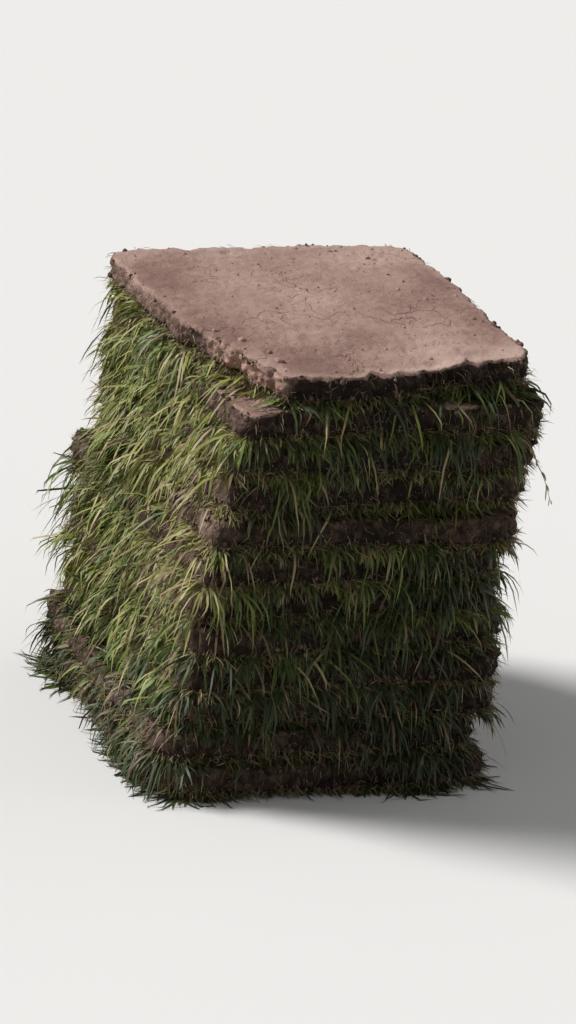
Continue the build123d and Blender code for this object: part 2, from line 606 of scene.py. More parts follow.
def make_cut_side(tree, earth, damp):
    """The colour of the cut sides: moist and rooty, or paler where they face left, partly as
    sun-dried soil and partly as painted sunlight.
    """
    tone = weighed(tree, -0.38, (stored(tree, "depth"), 0.28), (earth["Stain"], 0.55),
                   (earth["Grain"], 0.4), (earth["Crumb Tone"], 0.5), (damp, -0.2))
    moist = soil_ramp(tree, tone, 0.52, moist_dark_and_crease_shade, moist_brown, root_brown)
    # Painted shade in the creases between crumbs, strong on the moist sides and weaker on the paler
    # ones.
    moist = tinted(tree, moist, moist_dark_and_crease_shade, earth["Crease Shade"], 1.1)
    # The sides that face left get paler colours, partly sun-dried soil and partly painted sunlight.
    dried_and_sunlit = soil_ramp(tree, tone, 0.52, dried_and_sunlit_dark, dried_and_sunlit_brown, dried_and_sunlit_pale)
    dried_and_sunlit = tinted(tree, dried_and_sunlit, dried_and_sunlit_dark, earth["Crease Shade"], 0.5)
    return mixed(tree, stored(tree, "dried_and_sunlit"), moist, dried_and_sunlit)


def make_open_face(tree, earth, damp, cracks):
    """The colour of the open faces: dry and mauve, with damp stains, pits and cracks."""
    tone = weighed(tree, -0.15, (earth["Stain"], 0.9), (earth["Grain"], 0.25),
                   (earth["Crumb Tone"], 0.08), (damp, -0.26))
    colour = soil_ramp(tree, tone, 0.48, dry_damp, dry_mauve, dry_pale, 0.85)
    colour = tinted(tree, colour, pit_shade, earth["Pits"], 0.6)
    return tinted(tree, colour, pit_shade, cracks, 0.55)


def make_soil_material():
    material, tree, shader = new_material("Rooted soil", roughness=0.94, specular=0.2)
    earth = place_group(tree, earth_group, Crumb_Scale=190.0)
    damp = stored(tree, "damp")
    dryness = stored(tree, "dryness")
    cracks = make_cracks(tree)
    is_open = weighed(tree, -4.2, (dryness, 6.0), (earth["Crumb Height"], 3.0))
    is_open = reckoned(tree, "MINIMUM", reckoned(tree, "MAXIMUM", is_open, 0.0), 1.0)
    cut_side = make_cut_side(tree, earth, damp)
    colour = mixed(tree, is_open, cut_side, make_open_face(tree, earth, damp, cracks))
    colour = tinted(tree, colour, sand_pale, earth["Flecks"], 0.7)
    rough = weighed(tree, 0.8, (earth["Stain"], 0.2))
    strength = weighed(tree, 1.0, (dryness, -0.78), (stored(tree, "dried_and_sunlit"), -0.3))
    relief = reckoned(tree, "MULTIPLY", earth["Crumb Height"], strength)
    open_cracks = reckoned(tree, "MULTIPLY", cracks, is_open)
    relief = weighed(tree, relief, (earth["Grain"], 0.2), (open_cracks, -0.35))
    set_finish(tree, shader, colour, rough, relief, 1.0, soil_bump)
    return material


soil_material = make_soil_material()
print("soil material with", len(soil_material.node_tree.nodes), "nodes")

# %% [markdown]
# ## The cut side of a mat
#
# A mat is a closed skin. Its rings run from under the rim, up the cut side and back in over the
# top. The cut side is what shows, so it has a ring every 1.4 mm, and the hidden faces have
# few. The noises push each point in or out: lumps, clods, crumbs and grains and, here and there,
# a bite where a clod has dropped off an edge. Where the top slab's corner is broken off, the
# break is rougher than a cut, so it gets more clods and crumbs. The upper edge of that slab has
# one deeper notch, left of the middle of its front.

# %% Roughness of the cut sides
lump_push, lump_size = 1.2 * mm, 23 * mm
clod_push, clod_size = 1.3 * mm, 8 * mm
crumb_push, crumb_size = 3.4 * mm, 5.4 * mm
grain_push, grain_size = 1.7 * mm, 3.0 * mm
broken_clod_push = 1.6 * mm
broken_crumb_push = 1.5 * mm
crumb_mean = 0.52  # of the crumb noise, so that a side keeps its place on the whole
edge_round = 1.2 * mm
bite_depth, bite_size = 13 * mm, 14 * mm
bite_level = 0.30
bite_squeeze = (1, 1, 0.7)  # makes bites taller than they are wide


def broken_share(slab, begins=8 * mm, full=14 * mm):
    """1 on the columns where the slab is broken back from the one below, and 0 elsewhere."""
    below = slabs[max(slabs.index(slab) - 1, 0)]
    near_corner = eased(-column_walls.sum(axis=1), 0.1, 0.7)
    return near_corner * eased(below["soil_high"] - slab["soil_low"], begins, full)


def side_push(points, share, broken, seed):
    """How far each point of a cut side moves along its way out."""
    clods = clod_push + broken_clod_push * broken
    crumbs = crumb_push + broken_crumb_push * broken
    push = lump_push * soft_noise(points, lump_size, seed)
    push += clods * soft_noise(points, clod_size, seed + 1)
    push += crumbs * (crumb_noise(points, crumb_size, seed + 2) - crumb_mean)
    push += grain_push * (crumb_noise(points, grain_size, seed + 3) - crumb_mean)
    to_edge = np.abs(share * 2 - 1)
    bite = np.clip(soft_noise(points * bite_squeeze, bite_size, seed + 5) - bite_level, 0, 1)
    push -= bite_depth * bite * (0.15 + 0.85 * to_edge**2)
    return push - edge_round * np.clip(to_edge * 1.9 - 0.9, 0, 1) ** 2


# %% Shape one cut side
side_rows = 12
ragged_low_height, ragged_high_height = 1.1 * mm, 0.9 * mm
crown_drop = 0.4 * mm
wavy_height = 0.7 * mm
notch_place = -12 * mm
notch_width = 5 * mm
notch_depth = 7 * mm


def cut_side(number, slab):
    """The rings of a mat's cut side, from its grass to its open side."""
    foot = outline(slab["soil_low"], slab["collar"])
    head = outline(slab["soil_high"], slab["crown"])
    out = outward_ways(foot)
    broken = broken_share(slab)
    ragged_low = ragged_low_height * soft_noise(foot, 7 * mm, 500 + number)
    ragged_high = ragged_high_height * soft_noise(head, 6 * mm, 520 + number) - crown_drop
    rings = []
    for share in np.linspace(0, 1, side_rows):
        ring = foot + (head - foot) * share
        ring[:, 2] += ragged_low * (1 - share) + ragged_high * share
        push = side_push(ring, share, broken, 40 + number * 11)
        if slab is top:
            notch = np.exp(-(((ring[:, 0] - notch_place) / notch_width) ** 2))
            push -= notch_depth * notch * (out[:, 1] < -0.7) * share**2
        ring[:, :2] += out * push[:, None]
        waves = wavy_height * soft_noise(ring, 5 * mm, 400 + number)
        ring[:, 2] += waves * (1 - abs(share * 2 - 1))
        rings.append(ring)
    return rings


# %% [markdown]
# ## Open faces
#
# The top of the highest mat is seen from above, and a corner of the one below shows where the
# top one is broken off. These two get an even grid in place of rings. Each square ring
# of the grid takes the shape of the rim, drawn in towards the axis, so the grid joins the rim
# without a seam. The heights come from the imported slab, and the noises add what the spade left:
# low swells, shallow scrapes, crumbs and a few holes.

# %% Heights of an open face
evening_rounds = 10
above_slab = 10 * mm  # a ray down starts so far above it
below_crown = 4 * mm  # a hit deeper than this is on another face
down = Vector((0, 0, -1))


def evened(heights, inside):
    """Even out the heights of the grid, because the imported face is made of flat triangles."""
    grid = np.zeros(inside.shape)
    grid[inside] = heights
    grid[[0, -1]] = grid[[1, -2]]
    grid[:, [0, -1]] = grid[:, [1, -2]]
    for _ in range(evening_rounds):
        grid[1:-1] = (grid[:-2] + grid[1:-1] * 2 + grid[2:]) / 4
        grid[:, 1:-1] = (grid[:, :-2] + grid[:, 1:-1] * 2 + grid[:, 2:]) / 4
    return grid[inside]


def packed_heights(slab, spots, packed_spots):
    """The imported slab's height at each spot, or at its twin where the spot lies beside the slab."""
    heights = np.zeros(len(spots))
    for number, places in enumerate(zip(spots, packed_spots)):
        for x, y in places:
            hit = slab["tree"].ray_cast(Vector((x, y, slab["high"][2] + above_slab)), down)[0]
            if hit is not None and hit.z > slab["crown"].min() - below_crown:
                heights[number] = hit.z
                break
    return heights


# %% Shape one open face
hair = 1e-6  # a rounding error
safe_inset = 1 * mm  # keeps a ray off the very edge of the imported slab


def open_face_grid(slab, rim):
    """The points inside the rim, the faces that join them, their nearness to it and columns."""
    size = columns_per_side
    steps = np.arange(size + 1) * 2 / size - 1
    across, along = np.meshgrid(steps, steps, indexing="ij")
    from_middle = np.maximum(np.abs(across), np.abs(along))
    inside = from_middle < 1 - hair
    column = share_round(across, along) * column_count
    part = np.clip(column - np.floor(column + hair), 0, 1)[inside, None]
    before = np.floor(column[inside] + hair).astype(int) % column_count
    after = (before + 1) % column_count
    numbers = np.zeros(inside.shape, dtype=np.int64)
    numbers[inside] = np.arange(inside.sum())
    numbers[~inside] = -1 - (np.rint(column[~inside]).astype(int) % column_count)

    def drawn_in(line):
        """The place of each point on the line of a rim, drawn in towards the axis."""
        plan = line[before] * (1 - part) + line[after] * part
        return axis_point + (plan - axis_point) * from_middle[inside, None]

    spots = drawn_in(rim[:, :2])
    packed_spots = drawn_in(rim_plan(slab["soil_high"] - safe_inset))
    heights = evened(packed_heights(slab, spots, packed_spots), inside)
    if slab is top:
        heights += front_bend(spots)
    nearness = np.minimum((across[inside]**6 + along[inside]**6) ** (1 / 6), 1)
    faces = [numbers[:-1, :-1], numbers[1:, :-1], numbers[1:, 1:], numbers[:-1, 1:]]
    faces = np.stack([corner.ravel() for corner in faces], axis=1)
    return np.column_stack([spots, heights]), faces, nearness, before


def roughen_open_face(points, nearness):
    """Swells, scrapes, crumbs and holes on the open face, calmer towards its rim."""
    calm = np.clip((1 - nearness) * 14, 0.2, 1)
    swells = 1.0 * mm * soft_noise(points, 38 * mm, 901)
    scrapes = 0.55 * mm * soft_noise(points * (0.4, 1.8, 1), 13 * mm, 902)
    patches = np.clip(soft_noise(points, 28 * mm, 904) + 0.25, 0, 1)
    crumbs = 1.2 * mm * (crumb_noise(points, 7 * mm, 903) - 0.55) * patches
    grains = 0.3 * mm * soft_noise(points, 3.4 * mm, 905)
    holes = 4 * mm * np.clip(soft_noise(points, 10 * mm, 906) - 0.6, 0, 1)
    points[:, 2] += (swells + scrapes + crumbs + grains - holes) * calm
    return points


# %% [markdown]
# ## Joining the mats
#
# Each mat now has its cut side. A ring drawn in under it closes the underside with a fan
# of long triangles, which is fine for a face that is never seen, and the top gets either two
# more rings and a fan, or the grid. The open face is paler at its rim, most along its front, and
# the ledge under the broken corner is darker at its rim.

# %% How the sun has dried the sides, and painted sunlight on the left
# How much the sides that face left are lightened: partly sun-dried soil, partly painted sunlight.
dried_and_sunlit_share = 0.3
top_sun_share = 2.4


def dried_and_sunlit_columns(slab):
    """How much the cut side is lightened at each column, most where it faces left: partly sun-dried
    soil, partly painted sunlight.
    """
    rim = outline(slab["soil_low"], slab["collar"])
    facing = np.clip(-outward_ways(rim)[:, 0], 0, 1)
    patchy = 0.75 + 0.5 * soft_noise(rim, 32 * mm, 850)
    dried = dried_and_sunlit_share * facing**1.5 * patchy
    if slab is top:
        torn = broken_share(top, 1 * mm, 7 * mm) * eased(facing, 0.4, 0.75)
        dried = np.maximum(dried * top_sun_share, torn)
    return smoothed(np.clip(dried, 0, 1), 7)


# %% The upper side of a mat
edge_paleness = 1.1
ledge_darkening = 1.2
hidden_insets = (4 * mm, 11 * mm)
hidden_drop = 0.3 * mm


def hidden_rings(slab):
    """The two rings over the top of a mat that lies under another."""
    return [outline(slab["soil_high"] - inset, slab["crown"] - hidden_drop)
            for inset in hidden_insets]


def open_columns(number):
    """How far the upper face of a mat lies open at each column."""
    if number == len(slabs) - 1:
        return np.ones(column_count)
    return broken_share(top) if number == len(slabs) - 2 else np.zeros(column_count)


def open_upper_side(slab, rim, bare):
    """The open face of a mat: its points, its faces and what is stored with its points."""
    inner, faces, nearness, column = open_face_grid(slab, rim)
    inner = roughen_open_face(inner, nearness)
    near_rim = eased(nearness, 0.9, 1.0) * (0.5 + 0.5 * front_share(inner))
    rim_tone_shift = -edge_paleness if slab is top else ledge_darkening
    damp = 1.3 * soft_noise(inner, 46 * mm, 807) + rim_tone_shift * near_rim
    values = {"depth": np.ones(len(inner)), "dryness": bare[column], "damp": damp,
              "dried_and_sunlit": np.zeros(len(inner))}
    return inner, faces, values


# %% Build the soil mats
under_inset = 6 * mm


def build_soil_mat(number, slab):
    side = cut_side(number, slab)
    bare = open_columns(number)
    is_open = bare.any()
    rings = [outline(slab["soil_low"] - under_inset, slab["collar"]), *side]
    depths = [0.0, *np.linspace(0, 1, side_rows)]
    if not is_open:
        rings += hidden_rings(slab)
        depths += [1.0] * len(hidden_insets)
    points = np.concatenate(rings)
    blocks = ring_faces(len(rings), column_count)
    last_ring = len(points) - column_count
    depth = np.repeat(depths, column_count)
    dryness = eased(depth, 0.78, 1.0) * np.tile(bare, len(rings))
    values = {"depth": depth, "dryness": dryness, "damp": soft_noise(points, 55 * mm, 800),
              "dried_and_sunlit": np.tile(dried_and_sunlit_columns(slab), len(rings))}
    if is_open:
        inner, faces, inner_values = open_upper_side(slab, side[-1], bare)
        blocks.append(np.where(faces < 0, last_ring - 1 - faces, faces + len(points)))
        slab["open_points"] = inner
    else:
        inner = [(*axis_point, slab["crown"].mean())]
        inner_values = {"depth": [1], "dryness": [0], "damp": [0], "dried_and_sunlit": [0]}
        blocks.append(fan_faces(last_ring, len(points), column_count, True))
    points = np.concatenate([points, inner, [(*axis_point, slab["collar"].mean())]])
    blocks.append(fan_faces(0, len(points) - 1, column_count, False))
    values = {key: np.concatenate([value, inner_values[key], [0]]) for key, value in values.items()}
    values["damp"] += 0.5 * scattered(np.array([[number, 3, 7]]), 5)[0]
    slab["side"] = np.stack(side)
    return new_piece(f"soil_mat_{number + 1:02d}", points, blocks, values, soil_material)


for number, slab in enumerate(slabs):
    mat = build_soil_mat(number, slab)
    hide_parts(slab["name"])
    slab["mat"] = mat
print("soil mats", len(slabs), "faces in the top one", len(top["mat"].data.polygons))

# %% [markdown]
# ## The look of grass and straw
#
# Leaves, straw and the squeezed felt of both have one thing in common: fine streaks along their
# fibres, and blotches where they are bruised or bleached. That is the second node group.
# It reads a direction to stretch along, because the felt's fibres lie level.

# %% The fibre group
def make_fibre_group():
    group, settings = new_group("Plant fibre", {"Streak Scale": 300.0, "Stretch": (1, 1, 1)})
    place = real_place(group)
    flat = add_node(group, "ShaderNodeVectorMath", {"operation": "MULTIPLY"})
    group.links.new(place, flat.inputs[0])
    group.links.new(settings["Stretch"], flat.inputs[1])
    streaks = add_node(group, "ShaderNodeTexNoise", Vector=flat.outputs[0], Detail=4.0,
                       Roughness=0.65, Distortion=0.8, Scale=settings["Streak Scale"])
    blotches = add_node(group, "ShaderNodeTexNoise", Vector=place, Scale=75.0, Detail=4.0)
    put_out(group, {"Streaks": streaks.outputs["Fac"], "Blotches": blotches.outputs["Fac"]})
    return group


fibre_group = make_fibre_group()
print("fibre group with", len(fibre_group.nodes), "nodes")

# %% [markdown]
# ## The pressed grass
#
# Under each mat the lawn's own grass is squeezed to a felt of leaves and straw. Most of it is
# hidden behind loose blades, so a closed skin with a fibrous bump is enough. It is laid on
# the measured rim, and it swells and dips as wads of grass do.

# %% Felt material
felt_dark = (0.016, 0.017, 0.008)
felt_olive = (0.062, 0.062, 0.022)
felt_straw = (0.21, 0.17, 0.085)
felt_bump = 1.5 * mm


def make_felt_material():
    material, tree, shader = new_material("Pressed grass", roughness=0.85, specular=0.25)
    fibre = place_group(tree, fibre_group, Streak_Scale=300.0, Stretch=(1, 1, 5))
    tone = weighed(tree, -0.35, (fibre["Blotches"], 0.5), (fibre["Streaks"], 1.1))
    colour = colour_ramp(tree, tone, [(0.25, felt_dark), (0.5, felt_olive), (0.85, felt_straw)])
    rough = weighed(tree, 0.7, (fibre["Streaks"], 0.25))
    set_finish(tree, shader, colour, rough, fibre["Streaks"], 1.0, felt_bump)
    return material


felt_material = make_felt_material()
print("felt material with", len(felt_material.node_tree.nodes), "nodes")

# %% Felt skins
felt_rows = 5
felt_columns = np.arange(0, column_count, 2)
felt_inset = 1.4 * mm
wad_height, wad_size = 1.8 * mm, 8 * mm
bulge_height = 1.2 * mm
foot_inset, collar_inset = 6 * mm, 12 * mm  # of the rings that close the skin
above_collar = 1.1  # the upper one of them lies inside the soil


def felt_ring(slab, inset, share):
    """One ring of the felt, at a share of its height."""
    height = slab["seat"] + (slab["collar"] - slab["seat"]) * share
    return outline(slab["grass"] - inset, height)[felt_columns]


def build_felt(number, slab):
    out = outward_ways(outline(slab["grass"], slab["seat"]))[felt_columns]
    rings = [felt_ring(slab, foot_inset, 0)]
    for share in np.linspace(0, 1, felt_rows):
        ring = felt_ring(slab, 0, share)
        bulge = bulge_height * (1 - (share * 2 - 1) ** 2)
        push = wad_height * soft_noise(ring, wad_size, 600 + number) + bulge - felt_inset
        ring[:, :2] += out * push[:, None]
        rings.append(ring)
    rings.append(felt_ring(slab, collar_inset, above_collar))
    count = len(felt_columns)
    middles = [(*axis_point, slab["seat"].mean()), (*axis_point, slab["collar"].mean() + 1 * mm)]
    points = np.concatenate([*rings, middles])
    blocks = ring_faces(len(rings), count)
    blocks.append(fan_faces(0, len(points) - 2, count, False))
    blocks.append(fan_faces((len(rings) - 1) * count, len(points) - 1, count, True))
    return new_piece(f"pressed_grass_{number + 1:02d}", points, blocks, {}, felt_material)


for number, slab in enumerate(slabs):
    felt = build_felt(number, slab)
    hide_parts(slab["name"])
print("pressed grass skins", len(slabs), "with", len(felt_columns), "columns each")

# %% [markdown]
# ## Where a loose blade may go
#
# A blade that leaves the stack bends down and then lies on whatever is under it. A table
# says how far the dressed stack stands out at every column and every millimetre of height.

# %% The envelope table
level_step = 1.0 * mm
spare_levels = 8
level_count = int(cad_box[1][2] / level_step) + spare_levels
levels = np.arange(level_count)[:, None] * level_step
envelope = np.zeros((level_count, column_count))
all_columns = np.arange(column_count)
for slab in slabs:
    in_grass = (levels >= slab["seat"] - level_step) & (levels < slab["collar"])
    envelope = np.where(in_grass, np.maximum(envelope, slab["grass"]), envelope)
    share = (levels - slab["collar"]) / (slab["crown"] - slab["collar"])
    row = np.clip(np.rint(share * (side_rows - 1)), 0, side_rows - 1).astype(int)
    reach = np.linalg.norm(slab["side"][..., :2] - axis_point, axis=2)[row, all_columns]
    in_soil = (share >= 0) & (share <= 1)
    envelope = np.where(in_soil, np.maximum(envelope, reach), envelope)


def stack_reach(points):
    """How far the stack stands out from its axis beside each point."""
    from_axis = points[..., :2] - axis_point
    share = share_round(from_axis[..., 0], from_axis[..., 1])
    column = np.rint(share * column_count).astype(int) % column_count
    level = np.clip(np.rint(points[..., 2] / level_step).astype(int), 0, level_count - 1)
    return envelope[level, column]


print("envelope", envelope.shape, f"widest {envelope.max() / mm:.1f} mm")

# %% [markdown]
# ## Growing fibres
#
# Thousands of blades, straws and roots are worked out at once, as arrays. Each comes out of the
# stack in its own direction and droops a little more at each step. Where it would sink in a
# little, it is pushed out to the table's value, and where it would sink in deep, it lies on what
# is under it until it is past the edge. Particle hair could grow them too, but here they have
# to become plain meshes in any case, and this way they know the stack.

# %% Paths of fibres
floor_gap = 0.5 * mm
slide_limit = 2.6 * mm  # how deep a fibre may sink in and still be pushed out
nearest_stop, farthest_stop = 3 * mm, 14 * mm


def unit(vectors):
    """The same directions, each one long."""
    return vectors / np.maximum(np.linalg.norm(vectors, axis=-1, keepdims=True), 1e-9)


def grow_paths(rng, starts, ways, lengths, steps, droop, spring, clearance):
    """Follow each fibre from its root. Gives an array of fibres by points by three.

    Fibres at the widest slab stay near the solids' box, each by a limit of its own, because one
    limit for all would line up their tips.
    """
    stops = np.random.default_rng(4).uniform(nearest_stop, farthest_stop, (len(starts), 1))
    lowest = np.array(cad_box[0]) - stops
    lowest[:, 2] = floor_gap
    highest = np.array(cad_box[1]) + stops
    place = starts.copy()
    way = unit(ways)
    paths = [place]
    for _ in range(steps):
        before = place
        place = before + way * (lengths / steps)[:, None]
        from_axis = place[:, :2] - axis_point
        away = np.linalg.norm(from_axis, axis=1)
        short = stack_reach(place) + clearance - away
        pushed = (short > 0) & (short <= slide_limit)
        stopped = short > slide_limit
        place[:, :2] += np.where(pushed, short / away, 0)[:, None] * from_axis
        place[:, 2] = np.where(stopped, before[:, 2], place[:, 2])
        place = np.clip(place, lowest, highest)
        way = unit(place - before)
        way[:, 2] -= droop / steps
        way = unit(way + rng.normal(0, 1, way.shape) * spring)
        paths.append(place)
    return np.stack(paths, axis=1)


# %% [markdown]
# A blade is a ribbon that ends in one point, so it needs two triangles a step and one at the tip.
# Its flat side mostly faces out, as leaves that hang down a wall do, and a random twist along it
# keeps the blades from all catching the light together.

# %% Ribbons along paths
def path_frames(paths):
    """The way along each path, the level way across it, and the way square to both."""
    along = unit(np.gradient(paths, axis=1))
    out = unit(paths[..., :2] - axis_point)
    across = np.stack([-out[..., 1], out[..., 0], np.zeros_like(out[..., 0])], axis=2)
    across = unit(across - along * np.sum(across * along, axis=2, keepdims=True))
    return along, across, np.cross(along, across)


def ribbons(rng, paths, widths, twist):
    """Points and faces of tapered ribbons, and how far along its ribbon each point lies."""
    count, stops, _ = paths.shape
    _, across, square = path_frames(paths)
    share = np.linspace(0, 1, stops)
    turn = rng.normal(0, twist, (count, 1)) + rng.normal(0, twist, (count, 1)) * share
    side = across * np.cos(turn)[..., None] + square * np.sin(turn)[..., None]
    width = widths[:, None] / 2 * np.interp(share, [0, 0.3, 0.7, 1], [0.7, 1, 0.85, 0])
    half = (side * width[..., None])[:, :-1]
    body = np.stack([paths[:, :-1] - half, paths[:, :-1] + half], axis=2).reshape(count, -1, 3)
    points = np.concatenate([body, paths[:, -1:]], axis=1)
    size = points.shape[1]
    first = np.arange(count)[:, None] * size + np.arange(stops - 2) * 2
    first = first.ravel()
    quads = np.stack([first, first + 1, first + 3, first + 2], axis=1)
    last = np.arange(count) * size + size - 1
    tips = np.stack([last - 2, last - 1, last], axis=1)
    along = np.append(np.repeat(share[:-1], 2), 1)
    return points.reshape(-1, 3), [quads, tips], np.tile(along, count)


# %% [markdown]
# ## Colours of leaves, straw and roots
#
# Each fibre stores a tone from 0 to 1: the lowest are dead and brown, then come bleached
# straw and yellowed leaves, and above those fresh green and dark green. A second stored value
# runs from root to tip, because a leaf that grew under others is pale at its base.

# %% The blade material
blade_tones = [
    (0.0, (0.085, 0.055, 0.032)),
    (0.12, (0.24, 0.165, 0.092)),
    (0.26, (0.46, 0.37, 0.20)),
    (0.40, (0.37, 0.335, 0.105)),
    (0.54, (0.255, 0.285, 0.056)),
    (0.70, (0.145, 0.200, 0.034)),
    (0.85, (0.074, 0.113, 0.021)),
    (1.0, (0.038, 0.057, 0.014)),
]
leaf_base = (0.33, 0.30, 0.15)
streak_shades = [(0.3, (0.6, 0.6, 0.58)), (0.7, (1.0, 1.0, 1.0))]
blade_bump = 0.4 * mm


def make_blade_material():
    material, tree, shader = new_material("Grass blades", roughness=0.5, specular=0.4)
    fibre = place_group(tree, fibre_group, Streak_Scale=420.0)
    tone = weighed(tree, -0.08, (stored(tree, "tone"), 1.0), (fibre["Blotches"], 0.16))
    colour = colour_ramp(tree, tone, blade_tones)
    paleness = weighed(tree, 0.55, (stored(tree, "tip"), -1.5))
    colour = mixed(tree, reckoned(tree, "MAXIMUM", paleness, 0.0), colour, leaf_base)
    shade = colour_ramp(tree, fibre["Streaks"], streak_shades)
    colour = mixed(tree, 0.8, colour, shade, "MULTIPLY")
    rough = weighed(tree, 0.4, (fibre["Streaks"], 0.3))
    set_finish(tree, shader, colour, rough, fibre["Streaks"], 0.4, blade_bump)
    return material


blade_material = make_blade_material()
print("blade material with", len(blade_material.node_tree.nodes), "nodes")

# %% Fibres as pieces
def new_fibres(name, shape, tones, first_tip=0.0):
    """Make a piece of fibres from their points, faces and places along them, and their tones."""
    points, blocks, along = shape
    values = {"tone": np.repeat(tones, len(points) // len(tones)),
              "tip": first_tip + (1 - first_tip) * along}
    new_piece(name, points, blocks, values, blade_material)


# %% [markdown]
# ## Where fibres start
#
# A share of the way round the stack becomes a place by reading the columns on each side of
# it. Blades and straws start inside the pressed grass. Grass was thicker in some spots than in
# others, so a value called lushness, made of two noises, the side and the height, says how
# close together its tufts stand and how long they are.

# %% Starting places
def at_share(values, share):
    """A column value read at any share of the way round."""
    place = np.mod(share, 1.0) * column_count
    before = np.floor(place).astype(int) % column_count
    after = (before + 1) % column_count
    part = place - np.floor(place)
    if values.ndim > 1:
        part = part[:, None]
    return values[before] * (1 - part) + values[after] * part


def grass_starts(rng, slab, shares, shallow, deep):
    """Roots inside the pressed grass, and the level way out there."""
    rim = outline(slab["grass"], slab["seat"])
    out = unit(at_share(outward_ways(rim), shares))
    inside = rng.uniform(shallow, deep, len(shares))
    plan = at_share(rim[:, :2], shares) - out * inside[:, None]
    seat, collar = at_share(slab["seat"], shares), at_share(slab["collar"], shares)
    height = seat + (collar - seat) * rng.uniform(0.15, 0.9, len(shares))
    return np.column_stack([plan, height]), out


def turned_ways(out, yaw, pitch):
    """The way out, turned sideways by yaw and up by pitch, in radians."""
    x = out[:, 0] * np.cos(yaw) - out[:, 1] * np.sin(yaw)
    y = out[:, 0] * np.sin(yaw) + out[:, 1] * np.cos(yaw)
    return np.column_stack([x * np.cos(pitch), y * np.cos(pitch), np.sin(pitch)])


# %% Lushness
def facing_left(out):
    """How much a place faces left, from 0 to 1."""
    return np.clip(-out[:, 0], 0, 1) ** 2


def facing_front(out):
    """How much a place faces forward, from 0 to 1."""
    return np.clip(-out[:, 1], 0, 1) ** 2


def lushness(points, out):
    """How thick and long the grass is, about 0 where it is worn and 1.5 where it is best."""
    height = points[:, 2] / top["crown"].mean()
    patches = 0.9 * soft_noise(points * (1, 1, 0.7), 46 * mm, 91)
    patches += 0.5 * soft_noise(points, 18 * mm, 92)
    under_edge = 0.8 * facing_front(out) * eased(height, 0.76, 0.9)
    at_foot = eased(height, 0.0, 0.25)
    return np.clip(0.4 + 0.15 * at_foot + patches + 0.5 * facing_left(out) + under_edge, 0.03, 1.9)


def thick_places(rng, slab, count):
    """Shares round the stack, closer together where the lawn was thick."""
    tries = rng.random(count * 6)
    rim = outline(slab["grass"], slab["seat"])
    lush = lushness(at_share(rim, tries), unit(at_share(outward_ways(rim), tries)))
    return tries[rng.random(len(tries)) < 0.15 + 0.7 * lush][:count]


rim = outline(top["grass"], top["seat"])
lush = lushness(rim, outward_ways(rim))
print(f"lushness under the top mat {lush.min():.2f} to {lush.max():.2f}")

# %% [markdown]
# ## Blades in tufts
#
# Blades come in tufts that share a lean, a length and a tone. Most were cut or pressed short
# and hang just past the edge of the soil, and a few are long. The left side's tufts are longer,
# and their tones are shifted lighter as painted sunlight. The front's tones are shifted darker as
# painted shade, and its tufts are longest under the top mats. Towards the ground the grass of
# every side is painted dark green as shade.

# %% Tones of the blades
foot_from, foot_until = 10 * mm, 120 * mm
dead_share = 0.33


def blade_tone(rng, starts, out, lush, tuft_tone):
    """Tones of the blades: about a third dead or yellow, darker greens at the front and near the
    ground as painted shade, and lighter ones on the left as painted sunlight.
    """
    # Tones shift darker at the front and towards the ground as painted shade, and lighter on the left
    # as painted sunlight.
    left, front = facing_left(out), facing_front(out)
    foot_shade = 1 - eased(starts[:, 2], foot_from, foot_until)
    spots = 0.34 * soft_noise(starts, 24 * mm, 94) + 0.12 * (lush - 0.8) + 0.6 * foot_shade
    tone = tuft_tone + rng.normal(0, 0.08, len(tuft_tone)) + 0.2 * front - 0.16 * left + spots
    dead = rng.random(len(tone)) < dead_share - 0.1 * lush - 0.1 * front
    dead_tone = rng.uniform(0.02, 0.4, len(tone)) * (1 - 0.7 * foot_shade)
    return np.clip(np.where(dead, dead_tone, tone), 0, 1)


# %% Grow the blades
tufts_per_slab = 330
blades_per_tuft = 8
blade_steps = 5
tuft_spread = 0.0022  # of the way round the stack
hidden_length = 6 * mm  # of a blade that ends at the edge of the soil
usual_overhang = 4.2 * mm
longest_blade = 44 * mm
loose_share = 0.12  # of the blades, which stand off the others


def grow_blades(number, slab):
    rng = np.random.default_rng(1000 + number)
    tufts = thick_places(rng, slab, tufts_per_slab)
    count = len(tufts) * blades_per_tuft
    shares = np.repeat(tufts, blades_per_tuft) + rng.normal(0, tuft_spread, count)
    starts, out = grass_starts(rng, slab, shares, 0.5 * mm, 4.5 * mm)
    lush = lushness(starts, out)

    def by_tuft(low, high):
        return np.repeat(rng.uniform(low, high, len(tufts)), blades_per_tuft)

    yaw = by_tuft(-1.25, 1.25) + rng.normal(0, 0.4, count)
    pitch = by_tuft(-0.7, 0.2) + rng.normal(0, 0.2, count)
    overhang = rng.gamma(1.8, usual_overhang, count) * by_tuft(0.45, 1.6) * (0.25 + 0.95 * lush)
    overhang *= 1 + 0.3 * facing_left(out)
    lengths = np.minimum(hidden_length + overhang, longest_blade)
    clearance = rng.uniform(0.2, 1.6, count) * mm
    clearance += (rng.random(count) < loose_share) * rng.uniform(0.5, 3.0, count) * mm
    droop = by_tuft(0.7, 3.6)
    ways = turned_ways(out, yaw, pitch)
    paths = grow_paths(rng, starts, ways, lengths, blade_steps, droop, 0.12, clearance)
    shape = ribbons(rng, paths, rng.uniform(0.9, 1.9, count) * mm, 0.5)
    tones = blade_tone(rng, starts, out, lush, by_tuft(0.45, 0.85))
    new_fibres(f"blades_{number + 1:02d}", shape, tones)
    return count


blade_total = sum(grow_blades(number, slab) for number, slab in enumerate(slabs))
print("blades", blade_total)

